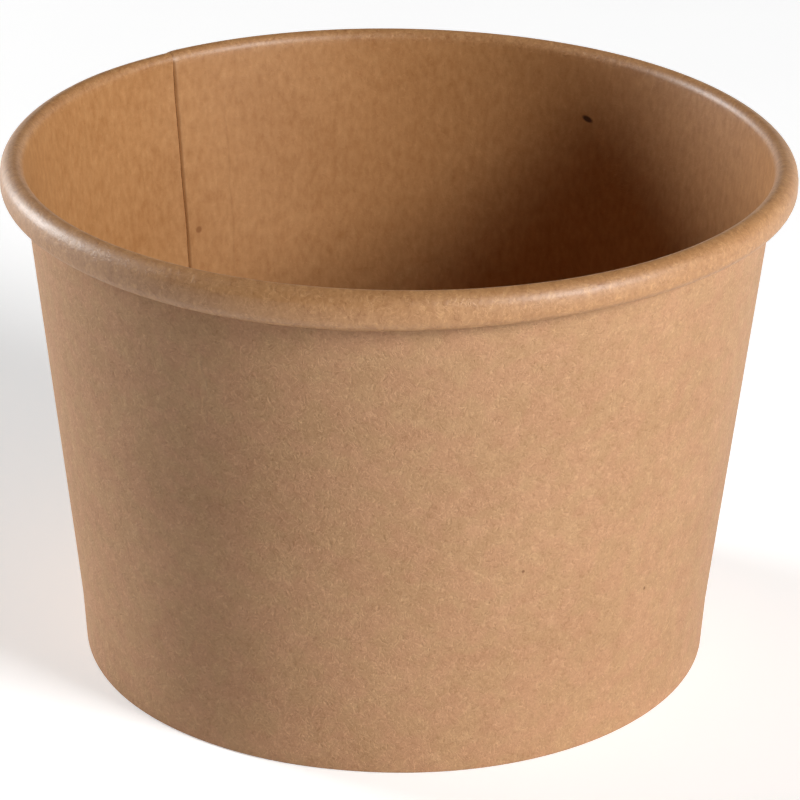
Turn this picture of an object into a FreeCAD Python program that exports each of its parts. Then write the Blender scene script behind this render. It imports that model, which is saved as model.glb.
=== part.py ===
"""A round paper tub for ice cream, made from two pieces of kraft board.

The side wall is a fan-shaped blank, wrapped into a cone until its two ends lap. The end on the inside
shows as a straight raw edge from the foot to the rim, and the end on the outside as another, one lap
further round. The top of the wall is rolled outwards into a hollow rim, and its foot is folded inwards
and up. The base is a round disc whose edge is turned down into a skirt, and the fold of the wall's foot
grips that skirt.

All sizes are in millimetres. +Z is up, and the origin is the middle of the ring that the tub stands on.
Seen from above, angles run anticlockwise from +X.
"""
import FreeCAD
import Part
import math
import os

# Overall sizes of the tub
rim_diameter = 115.0        # outside the rolled rim
height = 76.8               # from the table to the top of the rim
foot_diameter = 93.5        # outside of the wall where it meets the table

# Board
wall_board = 0.38           # thickness of the wall's board
base_board = 0.36           # thickness of the base's board
seal_gap = 0.02             # film of sealed coating on each side of the base's skirt

# Rolled rim
rim_height = 4.8            # height of the roll
rim_overhang = 2.9          # from the wall's outside to the roll's, at the top of the rim
rim_inner_radius = 1.65     # outside radius where the wall turns over into the roll
rim_outer_radius = 1.6      # outside radius where the top of the roll turns down
rim_bottom_radius = 1.6     # outside radius where the roll turns under
rim_tuck_radius = 0.9       # radius where it turns up beside the wall
roll_slack = 0.06           # room between the turns of the roll, beyond one more thickness of board
roll_tail = 0.10            # straight end of the board after its last turn

# Foot
foot_band = 7.75            # height of the pressed band round the foot
band_lean = 3.7             # degrees that the band leans outwards
fold_radius = 0.06          # inside radius of the two creases of the fold
fold_height = 6.3           # height of the turned-in edge of the wall
band_bend_radius = 14.0     # soft bend between the band and the wall above it

# Base
floor_height = 7.0          # underside of the base above the table
base_bend_radius = 0.30     # inside radius where the disc turns down
skirt_clearance = 0.25      # from the edge of the skirt down to the fold of the wall

# Side seam
seam_angle = 130.3          # where the raw edge shows inside the tub
lap_width = 9.4             # width of the lap, measured round the rim
jog_width = 20.0            # length over which the wall steps out behind the lap
jog_sections = 6


def vector(r, z):
    """A point of the half-plane that holds the tub's axis and +X."""
    return FreeCAD.Vector(r, 0, z)


def line_through(point, heading, shift):
    """A line as a point and a direction, moved by shift to the right of its heading, in degrees."""
    a = math.radians(heading)
    along = (math.cos(a), math.sin(a))
    right = (along[1], -along[0])
    return (point[0] + shift * right[0], point[1] + shift * right[1]), along


def crossing(first, second):
    """The point where two lines meet."""
    (x1, z1), (dx1, dz1) = first
    (x2, z2), (dx2, dz2) = second
    across = dx1 * dz2 - dz1 * dx2
    run = ((x2 - x1) * dz2 - (z2 - z1) * dx2) / across
    return (x1 + run * dx1, z1 + run * dz1)


def rounded_run(corners, radii):
    """Lines and arcs through the corners of an open run, each inner corner rounded by its radius."""
    edges = []
    here = corners[0]
    for before, corner, after, radius in zip(corners, corners[1:], corners[2:], radii):
        back = (before[0] - corner[0], before[1] - corner[1])
        ahead = (after[0] - corner[0], after[1] - corner[1])
        back_length = math.hypot(*back)
        ahead_length = math.hypot(*ahead)
        back = (back[0] / back_length, back[1] / back_length)
        ahead = (ahead[0] / ahead_length, ahead[1] / ahead_length)
        half = math.acos(max(-1.0, min(1.0, back[0] * ahead[0] + back[1] * ahead[1]))) / 2
        cut = radius / math.tan(half)
        start = (corner[0] + cut * back[0], corner[1] + cut * back[1])
        end = (corner[0] + cut * ahead[0], corner[1] + cut * ahead[1])
        middle_way = (back[0] + ahead[0], back[1] + ahead[1])
        middle_length = math.hypot(*middle_way)
        reach = radius / math.sin(half) - radius
        middle = (
            corner[0] + reach * middle_way[0] / middle_length,
            corner[1] + reach * middle_way[1] / middle_length,
        )
        edges.append(Part.LineSegment(vector(*here), vector(*start)).toShape())
        edges.append(Part.Arc(vector(*start), vector(*middle), vector(*end)).toShape())
        here = end
    edges.append(Part.LineSegment(vector(*here), vector(*corners[-1])).toShape())
    return edges


# Lines that both pieces follow. Each is a point and a heading in the half-plane of the section.
rim_radius = rim_diameter / 2
foot_point = (foot_diameter / 2, 0.0)
band_heading = 90.0 - band_lean
band_top_point = (foot_diameter / 2 + foot_band * math.tan(math.radians(band_lean)), foot_band)
shoulder_point = (rim_radius - rim_overhang, height)
wall_heading = math.degrees(
    math.atan2(shoulder_point[1] - band_top_point[1], shoulder_point[0] - band_top_point[0])
)
fold_room = base_board + 2 * seal_gap     # the base's skirt and its seals, inside the fold
turn_gap = wall_board + roll_slack        # room for a second thickness of board between turns
inner_turn_radius = rim_inner_radius - wall_board - turn_gap
skirt_end = wall_board + skirt_clearance
last_corner = crossing(
    line_through(shoulder_point, wall_heading, turn_gap),
    ((0.0, height - wall_board - turn_gap), (1.0, 0.0)),
)
roll_end_radius = last_corner[0] + roll_tail + inner_turn_radius * math.tan(math.radians(wall_heading / 2))


def wall_face(shift, bottom):
    """One face of the wall's board, from the turned-in edge to the roll's end: corners and rounding radii.

    A shift of 0 is the face that the ice cream touches, and wall_board the face outside. The bottom is
    the height of that face at the foot, because the laps are pressed flat there.
    """
    leg = line_through(foot_point, band_heading + 180, wall_board + fold_room + shift)
    sole = ((0.0, bottom), (1.0, 0.0))
    band = line_through(foot_point, band_heading, shift - wall_board)
    wall = line_through(shoulder_point, wall_heading, shift - wall_board)
    top = ((0.0, height - shift), (1.0, 0.0))
    outside = ((rim_radius - shift, 0.0), (0.0, -1.0))
    under = ((0.0, height - rim_height + shift), (-1.0, 0.0))
    tuck = line_through(shoulder_point, wall_heading, turn_gap + shift)
    inner_top = ((0.0, height - wall_board - turn_gap - shift), (1.0, 0.0))
    turned_edge = ((0.0, fold_height), (1.0, 0.0))
    roll_end = ((roll_end_radius, 0.0), (0.0, -1.0))

    run = [turned_edge, leg, sole, band, wall, top, outside, under, tuck, inner_top, roll_end]
    corners = [crossing(a, b) for a, b in zip(run, run[1:])]
    crease = fold_radius + wall_board - bottom
    radii = [
        crease,
        crease,
        band_bend_radius - shift,
        rim_inner_radius - shift,
        rim_outer_radius - shift,
        rim_bottom_radius - shift,
        rim_tuck_radius - shift,
        inner_turn_radius - shift,
    ]
    return corners, radii


def wall_section(shift, thickness):
    """Closed outline of the wall's board in section, shifted outwards, of the given thickness."""
    inner_corners, inner_radii = wall_face(shift, wall_board)
    outer_corners, outer_radii = wall_face(shift + thickness, 0.0)
    inner = rounded_run(inner_corners, inner_radii)
    outer = rounded_run(outer_corners, outer_radii)
    tail = Part.LineSegment(vector(*inner_corners[-1]), vector(*outer_corners[-1])).toShape()
    edge = Part.LineSegment(vector(*outer_corners[0]), vector(*inner_corners[0])).toShape()
    return Part.Wire(inner + [tail] + outer[::-1] + [edge])


def turned(shape, angle):
    """A copy of the shape, turned about the tub's axis."""
    copy = shape.copy()
    copy.rotate(FreeCAD.Vector(0, 0, 0), FreeCAD.Vector(0, 0, 1), angle)
    return copy


def swept(section, start, sweep):
    """The section carried round the tub's axis from one angle through another."""
    face = Part.Face(turned(section, start))
    return face.revolve(FreeCAD.Vector(0, 0, 0), FreeCAD.Vector(0, 0, 1), sweep)


def jog(start, sweep):
    """The stretch where the wall steps out by one thickness, to lie outside its own other end."""
    sections = []
    for i in range(jog_sections):
        share = i / (jog_sections - 1)
        eased = share * share * (3 - 2 * share)
        sections.append(turned(wall_section(wall_board * eased, wall_board), start + sweep * share))
    return Part.makeLoft(sections, True, False)


def side_wall():
    """The wrapped wall: one thickness most of the way, two in the lap, and the jog that leads behind it."""
    lap = math.degrees(lap_width / rim_radius)
    jog_sweep = math.degrees(jog_width / rim_radius)
    single = swept(wall_section(0.0, wall_board), seam_angle + jog_sweep, 360 - lap - jog_sweep)
    double = swept(wall_section(0.0, 2 * wall_board), seam_angle - lap, lap)
    step_out = jog(seam_angle + jog_sweep, -jog_sweep)
    return single.multiFuse([double, step_out]).removeSplitter()


def base_disc():
    """The floor of the tub with its skirt turned down, carried round the axis as one board."""
    outside = line_through(foot_point, band_heading, -wall_board - seal_gap)
    inside = line_through(foot_point, band_heading, -wall_board - seal_gap - base_board)
    floor_top = ((0.0, floor_height + base_board), (1.0, 0.0))
    floor_under = ((0.0, floor_height), (1.0, 0.0))
    skirt_edge = ((0.0, skirt_end), (1.0, 0.0))
    outer = [crossing(skirt_edge, outside), crossing(outside, floor_top), (0.0, floor_top[0][1])]
    inner = [crossing(skirt_edge, inside), crossing(inside, floor_under), (0.0, floor_height)]
    edges = rounded_run(outer, [base_bend_radius + base_board])
    edges.append(Part.LineSegment(vector(*outer[-1]), vector(*inner[-1])).toShape())
    edges += rounded_run(inner, [base_bend_radius])[::-1]
    edges.append(Part.LineSegment(vector(*inner[0]), vector(*outer[0])).toShape())
    face = Part.Face(Part.Wire(edges))
    return face.revolve(FreeCAD.Vector(0, 0, 0), FreeCAD.Vector(0, 0, 1), 360)


def main():
    os.makedirs("parts", exist_ok=True)
    pieces = {"side_wall": side_wall(), "base_disc": base_disc()}
    for name, shape in pieces.items():
        solids = shape.Solids
        print(name, "solids", len(solids), "valid", shape.isValid(), "volume mm3", round(shape.Volume, 1))
        solids[0].exportStep(os.path.join("parts", name + ".step"))


main()
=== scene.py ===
import bpy
import math
import numpy as np
from mathutils import Matrix, Vector


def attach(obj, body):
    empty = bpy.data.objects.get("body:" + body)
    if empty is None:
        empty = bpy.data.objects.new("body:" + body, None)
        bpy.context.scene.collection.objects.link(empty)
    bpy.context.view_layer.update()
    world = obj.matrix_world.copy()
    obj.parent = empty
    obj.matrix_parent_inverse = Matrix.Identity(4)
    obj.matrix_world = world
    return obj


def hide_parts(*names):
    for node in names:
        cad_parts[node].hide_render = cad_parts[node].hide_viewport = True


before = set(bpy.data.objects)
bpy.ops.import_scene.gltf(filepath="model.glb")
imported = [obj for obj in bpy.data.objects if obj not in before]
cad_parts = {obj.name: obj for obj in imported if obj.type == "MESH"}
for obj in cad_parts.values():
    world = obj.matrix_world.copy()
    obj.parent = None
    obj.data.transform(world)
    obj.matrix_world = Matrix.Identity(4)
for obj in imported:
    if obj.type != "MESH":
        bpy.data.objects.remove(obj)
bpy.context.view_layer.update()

MM = 0.001

# Sizes of the tub, in millimetres. They are those of the part's source.
RIM_RADIUS = 57.5
HEIGHT = 76.8
FOOT_RADIUS = 46.75
WALL_BOARD = 0.38
BASE_BOARD = 0.36
SEAL_GAP = 0.02
RIM_HEIGHT = 4.8
RIM_OVERHANG = 2.9
RIM_INNER_RADIUS = 1.65
RIM_OUTER_RADIUS = 1.6
RIM_BOTTOM_RADIUS = 1.6
RIM_TUCK_RADIUS = 0.9
ROLL_SLACK = 0.06
ROLL_TAIL = 0.10
FOOT_BAND = 7.75
BAND_LEAN = 3.7
FOLD_RADIUS = 0.06
FOLD_HEIGHT = 6.3
BAND_BEND_RADIUS = 14.0
FLOOR_HEIGHT = 7.0
BASE_BEND_RADIUS = 0.30
SKIRT_CLEARANCE = 0.25
SEAM_ANGLE = 130.3
LAP_WIDTH = 9.4
JOG_WIDTH = 20.0

# Small forms that only the scene has, in millimetres and shares of the board's thickness
PLY_FILM = 0.012            # room between the two ends of the wall where they lap
EDGE_LIFT = 0.03            # how far the inner end stands off the table, where it meets the outer one
PRESSED_LAP = 0.40          # share of the thickness that is left of the lapped ends in the roll
PRESSED_EDGE = 0.30         # share that is left at the raw edge inside
EDGE_WIDTH = 0.5            # how far from the raw edge the board is pressed thin
EDGE_WANDER = 0.10          # how far the raw edge strays sideways, in degrees
ROUND_CENTRE = (55.1, 74.4)     # middle of the arc that rounds the upper outer quarter of the roll
ROUND_RADIUS = 2.4
BASE_SAG = 0.22             # how far the middle of the base hangs down
BASE_BLANK_AT = 300.0       # where the base's blank lies beside the wall's, for the material

# How the rim and the foot of the real tub stray from an even one: (angle, width in degrees, size)
ROLL_BOTTOM_HUMPS = [(-162.0, 14.0, -0.30), (-119.0, 24.0, -0.45), (-58.0, 26.0, 0.50), (-92.0, 30.0, -0.55)]
RIM_TOP_HUMPS = [(-55.0, 26.0, 0.26)]
FOOT_HUMPS = [(-138.0, 16.0, 0.40), (-112.0, 9.0, 0.16), (-78.0, 22.0, 0.34), (-40.0, 20.0, 0.14)]
FOOT_HUMP_HEIGHT = 16.0     # the foot's humps fade out at this height
# Waves round the tub: (number of waves, size, phase in degrees)
RIM_TOP_WAVES = [(3, 0.05, 20.0), (5, 0.04, 100.0)]
WALL_WAVES = [(2, 0.12, 100.0), (3, 0.06, 90.0), (5, 0.04, 10.0), (7, 0.03, 70.0)]
BASE_WAVES = [(2, 0.10, 50.0), (3, 0.05, 5.0)]

# The photograph's camera, found by fitting the tub's outline. Lengths are in rim radii.
CAMERA_FOCAL = 3566.2       # in pixels of a picture 800 wide
CAMERA_PITCH = 23.8144
CAMERA_YAW = 0.074
CAMERA_ROLL = -0.6435
CAMERA_SIDE = -0.0011
CAMERA_BACK = 8.4516
CAMERA_UP = 4.3713


# The section of the wall's board

def line_through(point, heading, shift):
    a = math.radians(heading)
    along = (math.cos(a), math.sin(a))
    return (point[0] + shift * along[1], point[1] - shift * along[0]), along


def crossing(first, second):
    (x1, z1), (dx1, dz1) = first
    (x2, z2), (dx2, dz2) = second
    across = dx1 * dz2 - dz1 * dx2
    run = ((x2 - x1) * dz2 - (z2 - z1) * dx2) / across
    return (x1 + run * dx1, z1 + run * dz1)


FOOT_POINT = (FOOT_RADIUS, 0.0)
BAND_HEADING = 90.0 - BAND_LEAN
BAND_TOP = (FOOT_RADIUS + FOOT_BAND * math.tan(math.radians(BAND_LEAN)), FOOT_BAND)
SHOULDER = (RIM_RADIUS - RIM_OVERHANG, HEIGHT)
WALL_HEADING = math.degrees(math.atan2(SHOULDER[1] - BAND_TOP[1], SHOULDER[0] - BAND_TOP[0]))
FOLD_ROOM = BASE_BOARD + 2 * SEAL_GAP
TURN_GAP = WALL_BOARD + ROLL_SLACK
INNER_TURN = RIM_INNER_RADIUS - WALL_BOARD - TURN_GAP
LAST_CORNER = crossing(
    line_through(SHOULDER, WALL_HEADING, TURN_GAP),
    ((0.0, HEIGHT - WALL_BOARD - TURN_GAP), (1.0, 0.0)),
)
ROLL_END = LAST_CORNER[0] + ROLL_TAIL + INNER_TURN * math.tan(math.radians(WALL_HEADING / 2))

LAP_TURN = math.degrees(LAP_WIDTH / RIM_RADIUS)
JOG_TURN = math.degrees(JOG_WIDTH / RIM_RADIUS)

# How finely each straight and each bend of the section is divided
STRAIGHT_STEPS = [3, 1, 4, 40, 1, 2, 1, 2, 1]
BEND_STEPS = [5, 5, 3, 10, 10, 10, 7, 6]
BASE_COLUMNS = 240


def rounded_points(corners, radii):
    """Points along an open run with rounded corners, always the same number for the same steps."""
    points = []
    here = np.array(corners[0])
    for i, radius in enumerate(radii):
        before, corner, after = (np.array(corners[i + k]) for k in range(3))
        back = (before - corner) / np.linalg.norm(before - corner)
        ahead = (after - corner) / np.linalg.norm(after - corner)
        half = math.acos(max(-1.0, min(1.0, float(back @ ahead)))) / 2
        cut = radius / math.tan(half)
        start = corner + cut * back
        end = corner + cut * ahead
        middle = (back + ahead) / np.linalg.norm(back + ahead)
        centre = corner + radius / math.sin(half) * middle
        for k in range(STRAIGHT_STEPS[i]):
            points.append(here + (start - here) * k / STRAIGHT_STEPS[i])
        first = start - centre
        last = end - centre
        sweep = math.atan2(first[0] * last[1] - first[1] * last[0], float(first @ last))
        for k in range(BEND_STEPS[i]):
            a = sweep * k / BEND_STEPS[i]
            turn = np.array([[math.cos(a), -math.sin(a)], [math.sin(a), math.cos(a)]])
            points.append(centre + turn @ first)
        here = end
    steps = STRAIGHT_STEPS[len(radii)]
    last = np.array(corners[-1])
    for k in range(steps + 1):
        points.append(here + (last - here) * k / steps)
    return np.array(points)


def board_face(shift, bottom):
    """One face of the wall's board in section, from the turned-in edge at the foot to the roll's end."""
    leg = line_through(FOOT_POINT, BAND_HEADING + 180, WALL_BOARD + FOLD_ROOM + shift)
    sole = ((0.0, bottom), (1.0, 0.0))
    band = line_through(FOOT_POINT, BAND_HEADING, shift - WALL_BOARD)
    wall = line_through(SHOULDER, WALL_HEADING, shift - WALL_BOARD)
    top = ((0.0, HEIGHT - shift), (1.0, 0.0))
    outside = ((RIM_RADIUS - shift, 0.0), (0.0, -1.0))
    under = ((0.0, HEIGHT - RIM_HEIGHT + shift), (-1.0, 0.0))
    tuck = line_through(SHOULDER, WALL_HEADING, TURN_GAP + shift)
    inner_top = ((0.0, HEIGHT - WALL_BOARD - TURN_GAP - shift), (1.0, 0.0))
    run = [((0.0, FOLD_HEIGHT), (1.0, 0.0)), leg, sole, band, wall, top, outside, under, tuck, inner_top,
           ((ROLL_END, 0.0), (0.0, -1.0))]
    corners = [crossing(a, b) for a, b in zip(run, run[1:])]
    crease = FOLD_RADIUS + WALL_BOARD - min(bottom, WALL_BOARD)
    radii = [crease, crease, BAND_BEND_RADIUS - shift, RIM_INNER_RADIUS - shift, RIM_OUTER_RADIUS - shift,
             RIM_BOTTOM_RADIUS - shift, RIM_TUCK_RADIUS - shift, INNER_TURN - shift]
    return round_roll(rounded_points(corners, radii), shift)


def round_roll(points, shift):
    """Rounds off the upper outer quarter of the roll, which the source gives as straights and a bend."""
    away = points - np.array(ROUND_CENTRE)
    far = np.linalg.norm(away, axis=1)
    beyond = (away > 0).all(axis=1) & (far > ROUND_RADIUS - shift)
    pulled = np.array(ROUND_CENTRE) + away * ((ROUND_RADIUS - shift) / np.maximum(far, 1e-6))[:, None]
    return np.where(beyond[:, None], pulled, points)


# On the flat blank, from the centre of its curve to the foot and to the middle of the wall
FOOT_REACH = FOOT_RADIUS / math.sin(math.radians(90.0 - WALL_HEADING))
MIDDLE_REACH = FOOT_REACH + 0.5 * HEIGHT


def roll_rows():
    """How far each row of the section is into the rolled rim: 0 on the wall, 1 past the first bend."""
    plain = board_face(0.0, WALL_BOARD)
    top = int(np.argmax(plain[:, 1]))
    share = np.clip((plain[:, 1] - (HEIGHT - 2.6)) / 2.0, 0.0, 1.0)
    share[top:] = 1.0
    return share * share * (3 - 2 * share)


# Small irregularities of the real tub

def hump(phi, humps):
    """A sum of smooth humps round the tub: (angle, width, size), with angles and widths in degrees."""
    total = np.zeros_like(phi)
    for centre, width, size in humps:
        gap = (phi - centre + 180.0) % 360.0 - 180.0
        total = total + size * np.exp(-0.5 * (gap / width) ** 2)
    return total


def waver(phi, waves):
    """A sum of waves round the tub: (number of waves, size, phase in degrees)."""
    total = np.zeros_like(phi)
    for number, size, phase in waves:
        total = total + size * np.cos(np.radians(number * phi + phase))
    return total


def settle(r, phi, z):
    """Moves points from the ideal tub to the one in the photo, whose rim and foot aren't quite even."""
    share = np.clip(z / HEIGHT, 0.0, 1.0)
    in_roll = np.clip((z - (HEIGHT - RIM_HEIGHT)) / RIM_HEIGHT, 0.0, 1.0)
    near_rim = np.clip((z - (HEIGHT - RIM_HEIGHT - 2.5)) / (RIM_HEIGHT + 2.5), 0.0, 1.0)
    roll_only = (r > RIM_RADIUS - 3.2) & (z > HEIGHT - RIM_HEIGHT - 1.0)
    dz = (hump(phi, RIM_TOP_HUMPS) + waver(phi, RIM_TOP_WAVES)) * near_rim ** 2
    dz = dz + np.where(roll_only, hump(phi, ROLL_BOTTOM_HUMPS) * (1.0 - in_roll), 0.0)
    dr = waver(phi, WALL_WAVES) * (0.25 + 0.75 * share)
    dr = dr + hump(phi, FOOT_HUMPS) * np.clip(1.0 - z / FOOT_HUMP_HEIGHT, 0.0, 1.0)
    return r + dr, z + dz


def blank_place(phi, length):
    """Where a point of the wall lies on the flat blank, in millimetres."""
    reach = FOOT_REACH + length
    turn = np.radians(phi + 90.0) * FOOT_RADIUS / FOOT_REACH
    return reach * np.sin(turn), reach * np.cos(turn)


def blank_lengths():
    """Distance along the board in section, counted from the lowest row of the foot, for each row."""
    plain = board_face(0.0, WALL_BOARD)
    length = np.concatenate([[0.0], np.cumsum(np.linalg.norm(np.diff(plain, axis=0), axis=1))])
    return plain, length - length[int(np.argmin(plain[:, 1]))]


def mark_on_blank(phi, z):
    """The place on the flat blank of a point of the wall, below the roll."""
    plain, length = blank_lengths()
    top = int(np.argmax(plain[:, 1]))
    foot = int(np.argmin(plain[:, 1]))
    return blank_place(phi, float(np.interp(z, plain[foot:top, 1], length[foot:top])))


# Meshes

def add_mesh(name, points, faces, slots, uv, materials):
    """An object from points in millimetres, with a material for each face and a flat place for each point."""
    mesh = bpy.data.meshes.new(name)
    mesh.from_pydata((points * MM).tolist(), [], faces)
    mesh.update()
    for material in materials:
        mesh.materials.append(material)
    mesh.polygons.foreach_set("material_index", slots)
    layer = mesh.uv_layers.new(name="board")
    corners = np.zeros(len(mesh.loops), dtype=np.int32)
    mesh.loops.foreach_get("vertex_index", corners)
    layer.data.foreach_set("uv", (uv[corners] * MM).ravel())
    mesh.polygons.foreach_set("use_smooth", [True] * len(mesh.polygons))
    mesh.set_sharp_from_angle(angle=math.radians(38.0))
    thing = bpy.data.objects.new(name, mesh)
    bpy.context.scene.collection.objects.link(thing)
    return thing


def wrap_angles():
    """Angles of the columns of the wall's mesh, from the inside raw edge round to the outside one."""
    marks = [(0.0, 1.2, 8), (1.2, LAP_TURN + 0.5, 11), (LAP_TURN + 0.5, 360.0 - JOG_TURN, 300),
             (360.0 - JOG_TURN, 360.0, 40), (360.0, 360.0 + LAP_TURN, 12)]
    travel = []
    for low, high, steps in marks:
        travel += [low + (high - low) * k / steps for k in range(steps)]
    travel.append(360.0 + LAP_TURN)
    return np.array(travel)


def lapped_sections(travel):
    """The board's two faces in section at each angle: the ice cream's side, and the side towards the hand.

    Where the ends of the wall lap, the sheet steps out, and its ends are pressed thin in the roll.
    The inner end is also pressed thin at its raw edge.
    """
    in_roll = roll_rows()[:, None]
    inner_rows = []
    outer_rows = []
    for t in travel:
        share = min(1.0, max(0.0, (t - (360.0 - JOG_TURN)) / JOG_TURN))
        step = share * share * (3 - 2 * share)
        lift = EDGE_LIFT if t < 20.0 else 0.0
        near_end = min(1.0, max(0.0, 1.0 - (t - LAP_TURN - 1.0) / 8.0))
        edge_width = EDGE_WIDTH * (1.0 + 2.0 * in_roll)
        near_edge = np.maximum(0.0, 1.0 - math.radians(t) * RIM_RADIUS / edge_width)
        inner_at = board_face(0.0, WALL_BOARD + lift)
        outer_at = board_face(WALL_BOARD, lift)
        far_in = board_face(WALL_BOARD + PLY_FILM, WALL_BOARD)
        far_out = board_face(2 * WALL_BOARD + PLY_FILM, 0.0)
        kept = 1.0 - near_end * in_roll * (1.0 - PRESSED_LAP)
        edge = near_edge ** 2 * (1.0 - PRESSED_EDGE * (1.0 - 0.6 * in_roll))
        out_share = step * (1.0 - in_roll * (1.0 - PRESSED_LAP))
        inner_rows.append(inner_at + (outer_at - inner_at) * edge * kept + (far_in - inner_at) * out_share)
        outer_rows.append(inner_at + (outer_at - inner_at) * kept + (far_out - outer_at) * out_share)
    return np.array(inner_rows), np.array(outer_rows)


def sheet_faces(columns, rows):
    """Faces that close a sheet of two layers of points, and their materials: inside, outside, cut edge."""
    half = columns * rows
    faces = []
    slots = []
    for i in range(columns - 1):
        for j in range(rows - 1):
            a, b, c, d = i * rows + j, i * rows + j + 1, (i + 1) * rows + j + 1, (i + 1) * rows + j
            faces.append((a, b, c, d))
            slots.append(0)
            faces.append((half + a, half + d, half + c, half + b))
            slots.append(1)
    for j in range(rows - 1):
        faces.append((half + j, half + j + 1, j + 1, j))
        end = (columns - 1) * rows + j
        faces.append((end, end + 1, half + end + 1, half + end))
        slots += [2, 2]
    for i in range(columns - 1):
        a, b = i * rows, (i + 1) * rows
        faces.append((a, b, half + b, half + a))
        a, b = a + rows - 1, b + rows - 1
        faces.append((half + a, half + b, b, a))
        slots += [2, 2]
    return faces, slots


def build_wall(materials):
    """The wall as one sheet of board: once round the tub and one lap further, outside its own start."""
    travel = wrap_angles()
    inner, outer = lapped_sections(travel)
    columns, rows = inner.shape[:2]
    travelled = np.repeat(travel[:, None], rows, axis=1)
    u, v = blank_place(SEAM_ANGLE - travelled, blank_lengths()[1][None, :])
    near = np.clip(1.0 - travelled, 0.0, 1.0) ** 2
    wander = EDGE_WANDER * np.sin(inner[:, :, 1] / 2.9) * np.sin(inner[:, :, 1] / 7.3 + 1.0)
    phi = SEAM_ANGLE - travelled + near * wander
    a = np.radians(phi)
    points = []
    for side in (inner, outer):
        r, z = settle(side[:, :, 0], phi, side[:, :, 1])
        points.append(np.stack([r * np.cos(a), r * np.sin(a), z], axis=2).reshape(-1, 3))
    points = np.concatenate(points)
    uv = np.stack([u.ravel(), v.ravel()], axis=1)
    uv = np.concatenate([uv, uv])
    faces, slots = sheet_faces(columns, rows)
    wall = add_mesh("wall_sheet", points, faces, slots, uv, materials)
    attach(wall, "root")
    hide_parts("side_wall")
    return wall


def base_face(shift):
    """One face of the base's board in section, from the edge of the skirt to the middle of the floor."""
    side = line_through(FOOT_POINT, BAND_HEADING, -WALL_BOARD - SEAL_GAP - shift)
    flat = ((0.0, FLOOR_HEIGHT + BASE_BOARD - shift), (1.0, 0.0))
    edge = ((0.0, WALL_BOARD + SKIRT_CLEARANCE), (1.0, 0.0))
    low = np.array(crossing(edge, side))
    corner = np.array(crossing(side, flat))
    radius = BASE_BEND_RADIUS + BASE_BOARD - shift
    up = (corner - low) / np.linalg.norm(corner - low)
    half = math.acos(float(-up @ np.array([-1.0, 0.0]))) / 2
    cut = radius / math.tan(half)
    start = corner - cut * up
    end = corner + np.array([-cut, 0.0])
    centre = end - np.array([0.0, radius])
    first = start - centre
    last = end - centre
    sweep = math.atan2(first[0] * last[1] - first[1] * last[0], float(first @ last))
    points = [low + (start - low) * k / 4 for k in range(4)]
    for k in range(8):
        a = sweep * k / 8
        turn = np.array([[math.cos(a), -math.sin(a)], [math.sin(a), math.cos(a)]])
        points.append(centre + turn @ first)
    for k in range(25):
        points.append(end + (np.array([0.0, flat[0][1]]) - end) * k / 24)
    return np.array(points)


def build_base(materials):
    """The base: a disc with its edge turned down, as one board."""
    columns = BASE_COLUMNS
    above = base_face(0.0)
    below = base_face(BASE_BOARD)
    rows = len(above)
    angles = np.arange(columns) * 360.0 / columns
    phi = np.repeat(angles[:, None], rows - 1, axis=1)
    a = np.radians(phi)
    points = []
    uv = []
    for side in (above, below):
        r = np.repeat(side[None, :-1, 0], columns, axis=0)
        z = np.repeat(side[None, :-1, 1], columns, axis=0)
        inward = np.clip(1.0 - r / (0.96 * FOOT_RADIUS), 0.0, 1.0)
        moved_r, moved_z = settle(r, phi, z)
        r = np.where(r > 0.96 * FOOT_RADIUS, moved_r, r + (moved_r - r) * (r / FOOT_RADIUS) ** 4)
        z = z - BASE_SAG * inward ** 0.8 + waver(phi, BASE_WAVES) * inward * (1 - inward) * 4
        points.append(np.stack([r * np.cos(a), r * np.sin(a), z], axis=2).reshape(-1, 3))
        middle = np.array([[0.0, 0.0, side[-1, 1] - BASE_SAG]])
        points.append(middle)
        flat = side[None, :-1, 0] + np.maximum(0.0, FLOOR_HEIGHT - side[None, :-1, 1])
        spread = np.repeat(flat, columns, axis=0)
        uv.append(np.stack([spread * np.cos(a), spread * np.sin(a)], axis=2).reshape(-1, 2))
        uv.append(np.zeros((1, 2)))
    points = np.concatenate(points)
    uv = np.concatenate(uv) + np.array([BASE_BLANK_AT, 0.0])
    step = rows - 1
    half = columns * step + 1
    faces = []
    slots = []
    for i in range(columns):
        n = (i + 1) % columns
        for j in range(step - 1):
            q = (i * step + j, n * step + j, n * step + j + 1, i * step + j + 1)
            faces.append(q)
            faces.append(tuple(half + k for k in reversed(q)))
            slots += [0, 1]
        faces.append((i * step + step - 1, n * step + step - 1, half - 1))
        faces.append((half + n * step + step - 1, half + i * step + step - 1, 2 * half - 1))
        slots += [0, 1]
        faces.append((n * step, i * step, half + i * step, half + n * step))
        slots.append(2)
    base = add_mesh("base_sheet", points, faces, slots, uv, materials)
    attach(base, "root")
    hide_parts("base_disc")
    return base


# Small dark marks of the pulp: angle, height, width across, width along, colour
INSIDE_SPOTS = [
    (127.9, 48.1, 1.20, 1.20, (0.30, 0.120, 0.036, 1)),
    (56.1, 66.0, 2.10, 1.00, (0.060, 0.018, 0.006, 1)),
    (134.6, 60.6, 0.60, 0.60, (0.28, 0.115, 0.038, 1)),
]
OUTSIDE_SPOTS = [
    (-69.2, 31.9, 0.45, 0.55, (0.27, 0.13, 0.06, 1)),
    (-43.5, 23.0, 0.50, 0.60, (0.27, 0.13, 0.06, 1)),
]


# Materials

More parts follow.
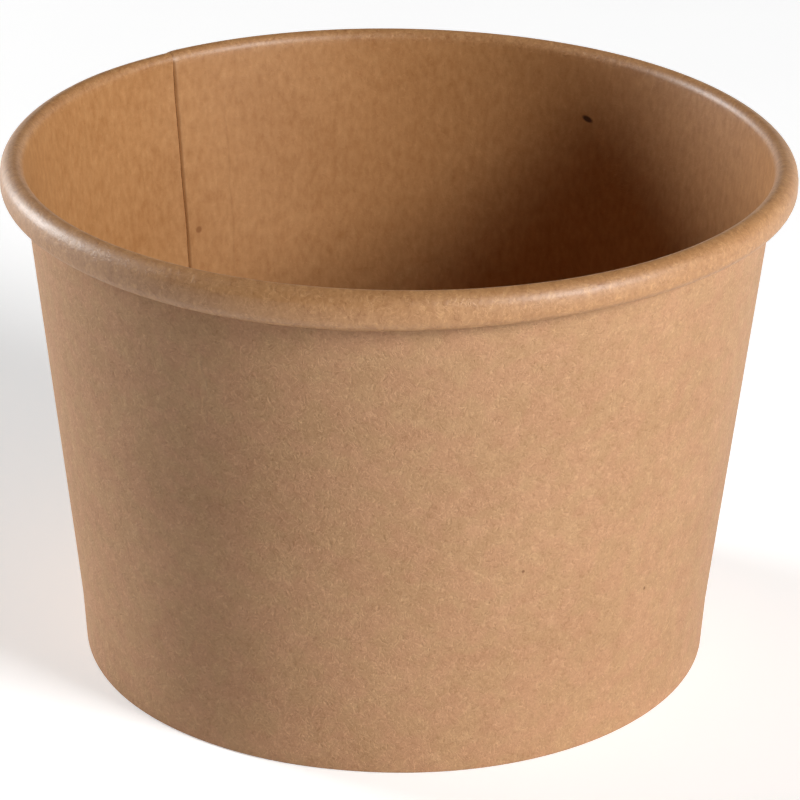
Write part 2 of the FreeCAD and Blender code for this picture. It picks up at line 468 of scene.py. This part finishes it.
class Graph:
    """A material's node tree, with short calls for the nodes that the board needs."""

    def __init__(self, name):
        self.material = bpy.data.materials.new(name)
        self.material.use_nodes = True
        self.tree = self.material.node_tree
        self.shader = self.tree.nodes["Principled BSDF"]

    def node(self, kind, **settings):
        made = self.tree.nodes.new(kind)
        for key, value in settings.items():
            setattr(made, key, value)
        return made

    def put(self, socket, value):
        if isinstance(value, bpy.types.NodeSocket):
            self.tree.links.new(value, socket)
        else:
            socket.default_value = value

    def math(self, operation, a, b=0.0, c=0.0, clamp=False):
        made = self.node("ShaderNodeMath", operation=operation, use_clamp=clamp)
        for socket, value in zip(made.inputs, (a, b, c)):
            self.put(socket, value)
        return made.outputs[0]

    def board(self, scale, turn=0.0, shift=(0.0, 0.0)):
        """Places on the flat blank in millimetres, turned, moved and scaled."""
        uv = self.node("ShaderNodeUVMap", uv_map="board")
        mapping = self.node("ShaderNodeMapping", vector_type="POINT")
        self.put(mapping.inputs["Vector"], uv.outputs["UV"])
        self.put(mapping.inputs["Location"], (shift[0], shift[1], 0.0))
        self.put(mapping.inputs["Rotation"], (0.0, 0.0, math.radians(turn)))
        self.put(mapping.inputs["Scale"], (scale[0] * 1000.0, scale[1] * 1000.0, 1.0))
        return mapping.outputs["Vector"]

    def along(self, scale, shift=(0.0, 0.0)):
        """Places on the blank measured round the tub and up the wall, in millimetres, scaled and moved."""
        flat = self.node("ShaderNodeSeparateXYZ")
        self.put(flat.inputs[0], self.board((1.0, 1.0)))
        reach = self.node("ShaderNodeVectorMath", operation="LENGTH")
        self.put(reach.inputs[0], self.board((1.0, 1.0)))
        turn = self.math("ARCTAN2", flat.outputs["X"], flat.outputs["Y"])
        place = self.node("ShaderNodeCombineXYZ")
        self.put(place.inputs["X"], self.math("MULTIPLY_ADD", turn, MIDDLE_REACH * scale[0], shift[0]))
        self.put(place.inputs["Y"], self.math("MULTIPLY_ADD", reach.outputs["Value"], scale[1], shift[1]))
        return place.outputs[0]

    def noise(self, vector, detail=2.0, rough=0.5, distortion=0.0):
        made = self.node("ShaderNodeTexNoise", noise_dimensions="2D")
        self.put(made.inputs["Vector"], vector)
        self.put(made.inputs["Scale"], 1.0)
        self.put(made.inputs["Detail"], detail)
        self.put(made.inputs["Roughness"], rough)
        self.put(made.inputs["Distortion"], distortion)
        return made.outputs[0]

    def ramp(self, value, low, high, out_low=0.0, out_high=1.0, smooth=True):
        made = self.node("ShaderNodeMapRange", interpolation_type="SMOOTHSTEP" if smooth else "LINEAR")
        self.put(made.inputs["Value"], value)
        self.put(made.inputs["From Min"], low)
        self.put(made.inputs["From Max"], high)
        self.put(made.inputs["To Min"], out_low)
        self.put(made.inputs["To Max"], out_high)
        return made.outputs["Result"]

    def mix(self, share, a, b, blend="MIX"):
        made = self.node("ShaderNodeMix", data_type="RGBA", blend_type=blend)
        made.clamp_factor = True
        self.put(made.inputs["Factor"], share)
        self.put(made.inputs[6], a)
        self.put(made.inputs[7], b)
        return made.outputs[2]


def squiggles(g, size, width, gather, shift):
    """Short curved hairs of the board's fibre, 1 on a hair and 0 elsewhere. Sizes are in millimetres."""
    line = g.noise(g.board((1 / size, 1 / size), shift[0] * 7.0, shift), 1.5, 0.55, 0.5)
    near = g.math("ABSOLUTE", g.math("SUBTRACT", line, 0.5))
    hair = g.ramp(near, width / size * 0.16, width / size * 0.42, 1.0, 0.0)
    spread = 1 / (1.1 * size)
    where = g.noise(g.board((spread, spread), 30.0, (shift[1] + 50.0, shift[0])), 1.0, 0.5)
    return g.math("MULTIPLY", hair, g.ramp(where, gather, gather + 0.12))


def board_tone(g, contrast, cloud_size, grain_size, fine):
    """The uneven brown of kraft board: a value round 0.5, from clouds, blotches, grain and fibres."""
    cloud = g.noise(g.board((1 / 19.0, 1 / 15.0), 10.0), 2.0, 0.5)
    blotch = g.noise(g.board((1 / cloud_size[0], 1 / cloud_size[1]), 0.0, (3.0, 9.0)), 2.0, 0.55)
    grain = g.noise(g.board((1 / grain_size, 1 / grain_size), 50.0, (7.0, 1.0)), 2.0, 0.6)
    long_hairs = squiggles(g, 1.3, 0.14, 0.44, (4.0, 11.0))
    pale = g.math("ADD", long_hairs, squiggles(g, 0.9, 0.11, 0.47, (17.0, 3.0)))
    dark = squiggles(g, 1.0, 0.14, 0.47, (9.0, 27.0))
    tone = g.math("MULTIPLY_ADD", g.math("SUBTRACT", cloud, 0.5), 0.26 * contrast, 0.5)
    tone = g.math("MULTIPLY_ADD", g.math("SUBTRACT", blotch, 0.5), 0.34 * contrast, tone)
    small = g.math("MULTIPLY", g.math("SUBTRACT", grain, 0.5), 0.50 * contrast)
    small = g.math("MULTIPLY_ADD", pale, 0.18 * contrast, small)
    small = g.math("MULTIPLY_ADD", dark, -0.16 * contrast, small)
    return g.math("MULTIPLY_ADD", small, fine, tone), small, blotch


def on_roll(g):
    """1 on the part of the blank that is rolled into the rim, and 0 on the wall."""
    reach = g.node("ShaderNodeVectorMath", operation="LENGTH")
    g.put(reach.inputs[0], g.board((1.0, 1.0)))
    plain, length = blank_lengths()
    top = FOOT_REACH + length[int(np.argmax(plain[:, 1]))]
    return g.ramp(reach.outputs["Value"], top - 3.0, top - 1.0)


def spot(g, phi, z, width, height):
    """A small mark of the pulp on the wall, 1 in its middle and 0 beyond it."""
    x, y = mark_on_blank(phi, z)
    place = g.board((1 / width, 1 / height), 0.0, (-x / width, -y / height))
    reach = g.node("ShaderNodeVectorMath", operation="LENGTH")
    g.put(reach.inputs[0], place)
    return g.ramp(reach.outputs["Value"], 0.28, 0.62, 1.0, 0.0)


def darken(g, colour, marks):
    """The colour with small dark marks: (angle, height, width across, width along, colour of the mark)."""
    for phi, z, width, height, dark in marks:
        colour = g.mix(spot(g, phi, z, width, height), colour, dark)
    return colour


def crease(g, top, bottom, width):
    """A fine upright crease of the wall between two points: (angle, height) each."""
    x0, y0 = mark_on_blank(*top)
    x1, y1 = mark_on_blank(*bottom)
    middle = ((x0 + x1) / 2, (y0 + y1) / 2)
    length = math.hypot(x1 - x0, y1 - y0)
    turn = math.degrees(math.atan2(x1 - x0, y0 - y1))
    a = math.radians(-turn)
    shift = (-(middle[0] * math.cos(a) - middle[1] * math.sin(a)),
             -(middle[0] * math.sin(a) + middle[1] * math.cos(a)))
    place = g.node("ShaderNodeSeparateXYZ")
    g.put(place.inputs[0], g.board((1.0, 1.0), -turn, shift))
    wander = g.noise(g.board((1 / 5.0, 1 / 5.0), 0.0, (8.0, 2.0)), 2.0, 0.5)
    across = g.math("ADD", place.outputs["X"], g.math("MULTIPLY", g.math("SUBTRACT", wander, 0.5), 1.6))
    ridge = g.ramp(g.math("ABSOLUTE", across), 0.0, width, 1.0, 0.0)
    ends = g.ramp(g.math("ABSOLUTE", place.outputs["Y"]), 0.25 * length, 0.5 * length, 1.0, 0.0)
    return g.math("MULTIPLY", ridge, ends)


def seam_step_shade(g):
    """1 at the raw edge of the inner end, where the shade of the lap's step is painted, fading out beside it.
    """
    edge = math.radians(SEAM_ANGLE + 90.0) * MIDDLE_REACH * FOOT_RADIUS / FOOT_REACH
    place = g.node("ShaderNodeSeparateXYZ")
    g.put(place.inputs[0], g.along((1.0, 1.0), (-edge, 0.0)))
    wander = g.noise(g.board((1 / 3.0, 1 / 3.0), 0.0, (3.0, 31.0)), 2.0, 0.5)
    across = g.math("ADD", place.outputs["X"], g.math("MULTIPLY", wander, 0.25))
    return g.ramp(g.math("ABSOLUTE", across), 0.06, 0.36, 1.0, 0.0)


def add_relief(g, height, depth):
    """Fine relief of the surface, with its depth in millimetres."""
    made = g.node("ShaderNodeBump")
    g.put(made.inputs["Strength"], 1.0)
    g.put(made.inputs["Distance"], depth * MM)
    g.put(made.inputs["Height"], height)
    g.put(g.shader.inputs["Normal"], made.outputs["Normal"])


def kraft_outside():
    """The outside of the board: matt kraft."""
    g = Graph("kraft_outside")
    tone, small, blotch = board_tone(g, 1.0, (2.4, 3.0), 0.42, 1.0)
    fold_relief_and_highlight = g.math("ADD", crease(g, (-119.9, 67.5), (-119.6, 50.0), 0.55),
                  crease(g, (-120.1, 63.5), (-118.7, 57.5), 0.40))
    # Painted highlight: the crease is painted lighter where its ridge catches the light; the same mask also
    # gives it relief.
    tone = g.math("MULTIPLY_ADD", fold_relief_and_highlight, 0.10, tone)
    colour = g.mix(g.ramp(tone, 0.1, 0.9, smooth=False), (0.392, 0.204, 0.098, 1), (0.628, 0.371, 0.205, 1))
    hue = g.noise(g.board((1 / 5.0, 1 / 4.0), 70.0, (21.0, 4.0)), 2.0, 0.5)
    yellow = g.mix(1.0, colour, (0.99, 1.005, 0.975, 1), "MULTIPLY")
    pink = g.mix(1.0, colour, (1.02, 0.985, 1.0, 1), "MULTIPLY")
    colour = g.mix(g.ramp(hue, 0.35, 0.65), yellow, pink)
    colour = darken(g, colour, OUTSIDE_SPOTS)
    g.put(g.shader.inputs["Base Color"], colour)
    g.put(g.shader.inputs["Roughness"], 0.62)
    g.put(g.shader.inputs["Specular IOR Level"], 0.28)
    height = g.math("MULTIPLY_ADD", small, 3.0, tone)
    add_relief(g, g.math("MULTIPLY_ADD", fold_relief_and_highlight, 1.6, height), 0.030)
    return g.material


def kraft_inside():
    """The inside of the board and the outside of the roll: kraft under a thin glossy film.

    The board's fibres show through the film where it is rolled, and hardly on the flat wall.
    """
    g = Graph("kraft_inside")
    rolled = on_roll(g)
    line = seam_step_shade(g)
    tone, small, blotch = board_tone(g, 0.9, (2.2, 2.6), 0.5, g.math("MULTIPLY_ADD", rolled, 0.85, 0.35))
    soft = g.noise(g.along((1 / 0.9, 1 / 1.9), (13.0, 6.0)), 1.0, 0.4)
    tone = g.math("MULTIPLY_ADD", g.math("SUBTRACT", soft, 0.5), 0.38, tone)
    colour = g.mix(g.ramp(tone, 0.1, 0.9, smooth=False), (0.350, 0.144, 0.040, 1), (0.605, 0.318, 0.132, 1))
    # Painted shade: the colour darkens along the seam, where the inner end steps over the outer one.
    colour = g.mix(g.math("MULTIPLY", line, 0.40), colour, (0.27, 0.12, 0.040, 1))
    emboss_relief_and_shade = crease(g, (120.9, 74.0), (120.8, 30.0), 0.35)
    # Painted shade along the faint ridge where the outer end presses through; the same mask also gives it
    # relief.
    colour = g.mix(g.math("MULTIPLY", emboss_relief_and_shade, 0.12), colour, (0.25, 0.10, 0.03, 1))
    colour = darken(g, colour, INSIDE_SPOTS)
    g.put(g.shader.inputs["Base Color"], colour)
    g.put(g.shader.inputs["Roughness"], 0.52)
    g.put(g.shader.inputs["Specular IOR Level"], g.math("MULTIPLY_ADD", rolled, 0.45, 0.40))
    g.put(g.shader.inputs["Coat Weight"], g.math("MULTIPLY", rolled, 0.20))
    g.put(g.shader.inputs["Coat Roughness"], 0.36)
    height = g.math("MULTIPLY", small, g.math("MULTIPLY_ADD", rolled, 1.3, 0.8))
    height = g.math("ADD", height, g.math("MULTIPLY", g.math("ADD", soft, blotch), 0.6))
    add_relief(g, g.math("MULTIPLY_ADD", emboss_relief_and_shade, -0.5, height), 0.030)
    return g.material


def cut_edge():
    """The raw edge of the board."""
    g = Graph("cut_edge")
    streak = g.noise(g.board((1 / 0.12, 1 / 1.5), 0.0, (5.0, 5.0)), 3.0, 0.6)
    colour = g.mix(g.ramp(streak, 0.3, 0.7), (0.52, 0.30, 0.15, 1), (0.70, 0.45, 0.26, 1))
    g.put(g.shader.inputs["Base Color"], colour)
    g.put(g.shader.inputs["Roughness"], 0.85)
    add_relief(g, streak, 0.04)
    return g.material


def seen_rays(tree):
    """1 for rays of the camera, of reflections and of transmission, and 0 for the rays that light things."""
    path = tree.nodes.new("ShaderNodeLightPath")
    first = tree.nodes.new("ShaderNodeMath")
    second = tree.nodes.new("ShaderNodeMath")
    first.operation = "MAXIMUM"
    second.operation = "MAXIMUM"
    tree.links.new(path.outputs["Is Camera Ray"], first.inputs[0])
    tree.links.new(path.outputs["Is Glossy Ray"], first.inputs[1])
    tree.links.new(first.outputs[0], second.inputs[0])
    tree.links.new(path.outputs["Is Transmission Ray"], second.inputs[1])
    return second.outputs[0]


def floor_paint():
    """A plain pale floor, lifted to a white background where it is seen."""
    g = Graph("floor_paint")
    soft = g.noise(g.board((1 / 40.0, 1 / 40.0)), 2.0, 0.5)
    g.put(g.shader.inputs["Base Color"], g.mix(soft, (0.88, 0.88, 0.88, 1), (0.90, 0.90, 0.90, 1)))
    g.put(g.shader.inputs["Roughness"], 0.9)
    g.put(g.shader.inputs["Specular IOR Level"], 0.0)
    g.put(g.shader.inputs["Emission Color"], (1, 1, 1, 1))
    g.put(g.shader.inputs["Emission Strength"], g.math("MULTIPLY", seen_rays(g.tree), FLOOR_LIFT))
    return g.material


# Stage

def build_floor():
    size = 4000.0
    points = np.array([[-size, -size, 0.0], [size, -size, 0.0], [size, size, 0.0], [-size, size, 0.0]])
    floor = add_mesh("floor", points, [(0, 1, 2, 3)], [0], points[:, :2], [floor_paint()])


def set_world():
    """White for the camera. Reflections see a white backdrop low behind the tub, and else a dark room."""
    world = bpy.data.worlds.new("studio")
    bpy.context.scene.world = world
    world.use_nodes = True
    tree = world.node_tree
    tree.nodes.clear()
    path = tree.nodes.new("ShaderNodeLightPath")
    place = tree.nodes.new("ShaderNodeTexCoord")
    split = tree.nodes.new("ShaderNodeSeparateXYZ")
    tree.links.new(place.outputs["Generated"], split.inputs[0])
    share = seen_rays(tree)
    for axis, low, high, at_low, at_high in (("Z", 0.10, 0.35, 1.0, 0.0), ("Y", -0.2, 0.3, 0.0, 1.0)):
        fade = tree.nodes.new("ShaderNodeMapRange")
        fade.interpolation_type = "SMOOTHSTEP"
        for name, value in (("From Min", low), ("From Max", high), ("To Min", at_low), ("To Max", at_high)):
            fade.inputs[name].default_value = value
        product = tree.nodes.new("ShaderNodeMath")
        product.operation = "MULTIPLY"
        tree.links.new(split.outputs[axis], fade.inputs["Value"])
        tree.links.new(fade.outputs["Result"], product.inputs[0])
        tree.links.new(share, product.inputs[1])
        share = product.outputs[0]
    either = tree.nodes.new("ShaderNodeMath")
    either.operation = "MAXIMUM"
    tree.links.new(share, either.inputs[0])
    tree.links.new(path.outputs["Is Camera Ray"], either.inputs[1])
    seen = tree.nodes.new("ShaderNodeBackground")
    seen.inputs["Color"].default_value = (1, 1, 1, 1)
    seen.inputs["Strength"].default_value = 1.0
    lit = tree.nodes.new("ShaderNodeBackground")
    lit.inputs["Color"].default_value = (1, 1, 1, 1)
    lit.inputs["Strength"].default_value = WORLD_LIGHT
    mix = tree.nodes.new("ShaderNodeMixShader")
    out = tree.nodes.new("ShaderNodeOutputWorld")
    tree.links.new(either.outputs[0], mix.inputs[0])
    tree.links.new(lit.outputs[0], mix.inputs[1])
    tree.links.new(seen.outputs[0], mix.inputs[2])
    tree.links.new(mix.outputs[0], out.inputs["Surface"])


def add_panel(name, azimuth, elevation, distance, width, height, radiance):
    """A soft panel light that faces the tub. Radiance is that of the panel's face."""
    light = bpy.data.lights.new(name, "AREA")
    light.shape = "RECTANGLE"
    light.size = width
    light.size_y = height
    light.energy = radiance * width * height * math.pi
    lamp = bpy.data.objects.new(name, light)
    a = math.radians(azimuth)
    e = math.radians(elevation)
    target = Vector((0.0, 0.0, 0.04))
    place = Vector((math.cos(a) * math.cos(e), math.sin(a) * math.cos(e), math.sin(e))) * distance
    lamp.location = target + place
    lamp.rotation_euler = place.to_track_quat("Z", "Y").to_euler()
    lamp.visible_camera = False
    bpy.context.scene.collection.objects.link(lamp)


# Lamps: name, azimuth, elevation, distance in metres, width, height, radiance
WORLD_LIGHT = 0.01
FLOOR_LIFT = 0.42
PANELS = [
    ("key_front_right", -38.0, 22.0, 1.6, 0.62, 1.10, 6.0),
    ("key_core", -38.0, 28.0, 1.55, 0.42, 0.42, 25.0),
    ("strip_back_left", 152.0, 15.0, 1.6, 0.45, 0.60, 25.5),
]


def set_camera():
    """The photograph's camera."""
    pitch = math.radians(CAMERA_PITCH)
    yaw = math.radians(CAMERA_YAW)
    roll = math.radians(CAMERA_ROLL)
    ahead = Vector((math.sin(yaw) * math.cos(pitch), math.cos(yaw) * math.cos(pitch), -math.sin(pitch)))
    right = ahead.cross(Vector((0, 0, 1))).normalized()
    down = ahead.cross(right)
    picture_right = math.cos(roll) * right + math.sin(roll) * down
    picture_down = -math.sin(roll) * right + math.cos(roll) * down
    lens = bpy.data.cameras.new("photo_camera")
    lens.sensor_fit = "HORIZONTAL"
    lens.sensor_width = 36.0
    lens.lens = CAMERA_FOCAL * 36.0 / 800.0
    lens.clip_start = 0.01
    lens.clip_end = 50.0
    camera = bpy.data.objects.new("photo_camera", lens)
    turn = Matrix((picture_right, -picture_down, -ahead)).transposed()
    unit = RIM_RADIUS * MM
    place = Vector((CAMERA_SIDE * unit, -CAMERA_BACK * unit, CAMERA_UP * unit))
    camera.matrix_world = Matrix.Translation(place) @ turn.to_4x4()
    bpy.context.scene.collection.objects.link(camera)
    bpy.context.scene.camera = camera


def main():
    inside = kraft_inside()
    outside = kraft_outside()
    edge = cut_edge()
    build_wall([inside, outside, edge])
    build_base([inside, outside, edge])
    build_floor()
    set_world()
    for panel in PANELS:
        add_panel(*panel)
    set_camera()
    bpy.context.scene.view_settings.view_transform = "Standard"


main()
